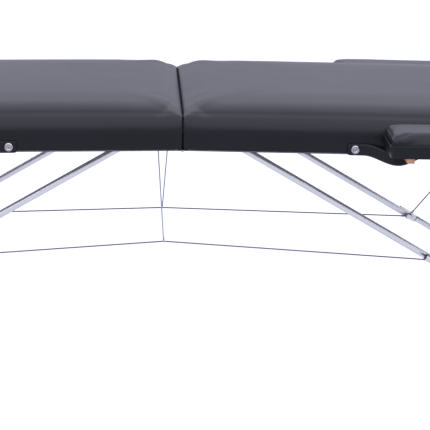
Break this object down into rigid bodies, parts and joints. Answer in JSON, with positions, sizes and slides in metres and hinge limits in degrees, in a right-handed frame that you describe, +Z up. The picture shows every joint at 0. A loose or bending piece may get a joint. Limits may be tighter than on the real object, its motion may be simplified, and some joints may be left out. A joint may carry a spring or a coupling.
{
  "type": "portable massage table",
  "caption": "Folding massage table: two padded sections hinged in the middle, folding legs with two-piece braces and cables, carry straps and pull-out armrests.",
  "frame": {"origin": "on the floor under the middle of the table, at the hinge line", "axes": "+X along the table towards the section with the armrests, +Y across it away from the carry handles, +Z up"},
  "size_m": [1.8518, 0.852, 0.6295],
  "materials": {
    "vinyl": "smooth grey vinyl, satin",
    "foam": "open-cell foam",
    "rail_wood": "black stained poplar",
    "plywood": "black stained plywood",
    "zinc": "zinc plated",
    "wire": "twisted steel wire",
    "cord": "braided cord",
    "foot_rubber": "moulded rubber",
    "knob_plastic": "moulded, fine texture",
    "strap": "stitched vinyl strap",
    "armrest_wood": "clear lacquered beech",
    "armrest_vinyl": "smooth dark vinyl",
    "steel_tube": "satin steel tube"
  },
  "bodies": {
    "right_section": {"right_rail_frame": "rail_wood", "right_deck": "plywood", "right_foam": "foam", "right_cover": "vinyl", "right_hinge_leaf": "zinc", "right_carry_handle": "strap", "right_near_brace_bracket": "zinc", "right_near_leg_bracket": "zinc", "right_near_tie_cable": "wire", "right_near_stay_cable": "wire", "right_far_brace_bracket": "zinc", "right_far_leg_bracket": "zinc", "right_far_tie_cable": "wire", "right_far_stay_cable": "wire"},
    "left_section": {"left_rail_frame": "rail_wood", "left_deck": "plywood", "left_foam": "foam", "left_cover": "vinyl", "left_hinge_leaf": "zinc", "left_carry_handle": "strap", "left_near_brace_bracket": "zinc", "left_near_leg_bracket": "zinc", "left_near_tie_cable": "wire", "left_near_stay_cable": "wire", "left_far_brace_bracket": "zinc", "left_far_leg_bracket": "zinc", "left_far_tie_cable": "wire", "left_far_stay_cable": "wire", "hinge_pin": "steel_tube", "near_drop_cord": "cord", "far_drop_cord": "cord"},
    "right_legs": {"right_leg_frame": "steel_tube"},
    "right_near_upper_brace": {"right_near_upper_brace": "steel_tube"},
    "right_near_lower_brace": {"right_near_lower_brace": "steel_tube"},
    "right_near_leg_extension": {"right_near_lower_leg": "steel_tube", "right_near_foot": "foot_rubber"},
    "right_near_knob": {"right_near_leg_knob": "knob_plastic"},
    "right_far_upper_brace": {"right_far_upper_brace": "steel_tube"},
    "right_far_lower_brace": {"right_far_lower_brace": "steel_tube"},
    "right_far_leg_extension": {"right_far_lower_leg": "steel_tube", "right_far_foot": "foot_rubber"},
    "right_far_knob": {"right_far_leg_knob": "knob_plastic"},
    "left_legs": {"left_leg_frame": "steel_tube"},
    "left_near_upper_brace": {"left_near_upper_brace": "steel_tube"},
    "left_near_lower_brace": {"left_near_lower_brace": "steel_tube"},
    "left_near_leg_extension": {"left_near_lower_leg": "steel_tube", "left_near_foot": "foot_rubber"},
    "left_near_knob": {"left_near_leg_knob": "knob_plastic"},
    "left_far_upper_brace": {"left_far_upper_brace": "steel_tube"},
    "left_far_lower_brace": {"left_far_lower_brace": "steel_tube"},
    "left_far_leg_extension": {"left_far_lower_leg": "steel_tube", "left_far_foot": "foot_rubber"},
    "left_far_knob": {"left_far_leg_knob": "knob_plastic"},
    "near_armrest": {"near_armrest_pad": "armrest_vinyl", "near_armrest_board": "armrest_wood", "near_armrest_prongs": "steel_tube"},
    "far_armrest": {"far_armrest_pad": "armrest_vinyl", "far_armrest_board": "armrest_wood", "far_armrest_prongs": "steel_tube"}
  },
  "joints": [
    {"name": "centre_fold", "type": "hinge", "parent": "left_section", "child": "right_section", "pos_m": [0, 0, 0.52896], "axis": [0, 1, 0], "range_deg": [0, 178.4], "deforming": ["right_near_tie_cable", "right_near_stay_cable", "right_far_tie_cable", "right_far_stay_cable", "left_near_tie_cable", "left_near_stay_cable", "left_far_tie_cable", "left_far_stay_cable", "near_drop_cord", "far_drop_cord"]},
    {"name": "right_leg_fold", "type": "hinge", "parent": "right_section", "child": "right_legs", "pos_m": [0.80016, 0, 0.53479], "axis": [0, 1, 0], "range_deg": [0, 92.4]},
    {"name": "right_near_upper_brace_turn", "type": "hinge", "parent": "right_section", "child": "right_near_upper_brace", "pos_m": [0.08023, -0.184, 0.54484], "axis": [0, 1, 0], "range_deg": [-29.5, 0]},
    {"name": "right_near_lower_brace_turn", "type": "hinge", "parent": "right_legs", "child": "right_near_lower_brace", "pos_m": [0.81183, -0.201, 0.11703], "axis": [0, 1, 0], "range_deg": [0, 58.1]},
    {"name": "right_near_leg_height", "type": "slide", "parent": "right_legs", "child": "right_near_leg_extension", "axis": [0.0279, 0, -0.9996], "range_m": [0, 0.19]},
    {"name": "right_near_knob_turn", "type": "hinge", "parent": "right_legs", "child": "right_near_knob", "pos_m": [0.81278, -0.222, 0.08297], "axis": [-0.9996, 0, -0.0279], "range_deg": [0, 360]},
    {"name": "right_far_upper_brace_turn", "type": "hinge", "parent": "right_section", "child": "right_far_upper_brace", "pos_m": [0.08023, 0.184, 0.54484], "axis": [0, 1, 0], "range_deg": [-29.5, 0]},
    {"name": "right_far_lower_brace_turn", "type": "hinge", "parent": "right_legs", "child": "right_far_lower_brace", "pos_m": [0.81183, 0.201, 0.11703], "axis": [0, 1, 0], "range_deg": [0, 58.1]},
    {"name": "right_far_leg_height", "type": "slide", "parent": "right_legs", "child": "right_far_leg_extension", "axis": [0.0279, 0, -0.9996], "range_m": [0, 0.19]},
    {"name": "right_far_knob_turn", "type": "hinge", "parent": "right_legs", "child": "right_far_knob", "pos_m": [0.81278, 0.222, 0.08297], "axis": [-0.9996, 0, -0.0279], "range_deg": [0, 360]},
    {"name": "left_leg_fold", "type": "hinge", "parent": "left_section", "child": "left_legs", "pos_m": [-0.80016, 0, 0.53479], "axis": [0, 1, 0], "range_deg": [-92.4, 0]},
    {"name": "left_near_upper_brace_turn", "type": "hinge", "parent": "left_section", "child": "left_near_upper_brace", "pos_m": [-0.08023, -0.184, 0.54484], "axis": [0, 1, 0], "range_deg": [0, 29.5]},
    {"name": "left_near_lower_brace_turn", "type": "hinge", "parent": "left_legs", "child": "left_near_lower_brace", "pos_m": [-0.81183, -0.201, 0.11703], "axis": [0, 1, 0], "range_deg": [-58.1, 0]},
    {"name": "left_near_leg_height", "type": "slide", "parent": "left_legs", "child": "left_near_leg_extension", "axis": [-0.0279, 0, -0.9996], "range_m": [0, 0.19]},
    {"name": "left_near_knob_turn", "type": "hinge", "parent": "left_legs", "child": "left_near_knob", "pos_m": [-0.81278, -0.252, 0.08297], "axis": [0.9996, 0, -0.0279], "range_deg": [0, 360]},
    {"name": "left_far_upper_brace_turn", "type": "hinge", "parent": "left_section", "child": "left_far_upper_brace", "pos_m": [-0.08023, 0.184, 0.54484], "axis": [0, 1, 0], "range_deg": [0, 29.5]},
    {"name": "left_far_lower_brace_turn", "type": "hinge", "parent": "left_legs", "child": "left_far_lower_brace", "pos_m": [-0.81183, 0.201, 0.11703], "axis": [0, 1, 0], "range_deg": [-58.1, 0]},
    {"name": "left_far_leg_height", "type": "slide", "parent": "left_legs", "child": "left_far_leg_extension", "axis": [-0.0279, 0, -0.9996], "range_m": [0, 0.19]},
    {"name": "left_far_knob_turn", "type": "hinge", "parent": "left_legs", "child": "left_far_knob", "pos_m": [-0.81278, 0.252, 0.08297], "axis": [0.9996, 0, -0.0279], "range_deg": [0, 360]},
    {"name": "near_armrest_pull", "type": "slide", "parent": "right_section", "child": "near_armrest", "axis": [0, -1, 0], "range_m": [0, 0.1]},
    {"name": "far_armrest_pull", "type": "slide", "parent": "right_section", "child": "far_armrest", "axis": [0, 1, 0], "range_m": [0, 0.1]}
  ],
  "couplings": [
    {"joint": "right_leg_fold", "follows": "centre_fold", "ratio": 0.51794},
    {"joint": "right_near_upper_brace_turn", "follows": "centre_fold", "ratio": -0.16536},
    {"joint": "right_near_lower_brace_turn", "follows": "centre_fold", "ratio": 0.32567},
    {"joint": "right_far_upper_brace_turn", "follows": "centre_fold", "ratio": -0.16536},
    {"joint": "right_far_lower_brace_turn", "follows": "centre_fold", "ratio": 0.32567},
    {"joint": "left_leg_fold", "follows": "centre_fold", "ratio": -0.51794},
    {"joint": "left_near_upper_brace_turn", "follows": "centre_fold", "ratio": 0.16536},
    {"joint": "left_near_lower_brace_turn", "follows": "centre_fold", "ratio": -0.32567},
    {"joint": "left_far_upper_brace_turn", "follows": "centre_fold", "ratio": 0.16536},
    {"joint": "left_far_lower_brace_turn", "follows": "centre_fold", "ratio": -0.32567}
  ]
}
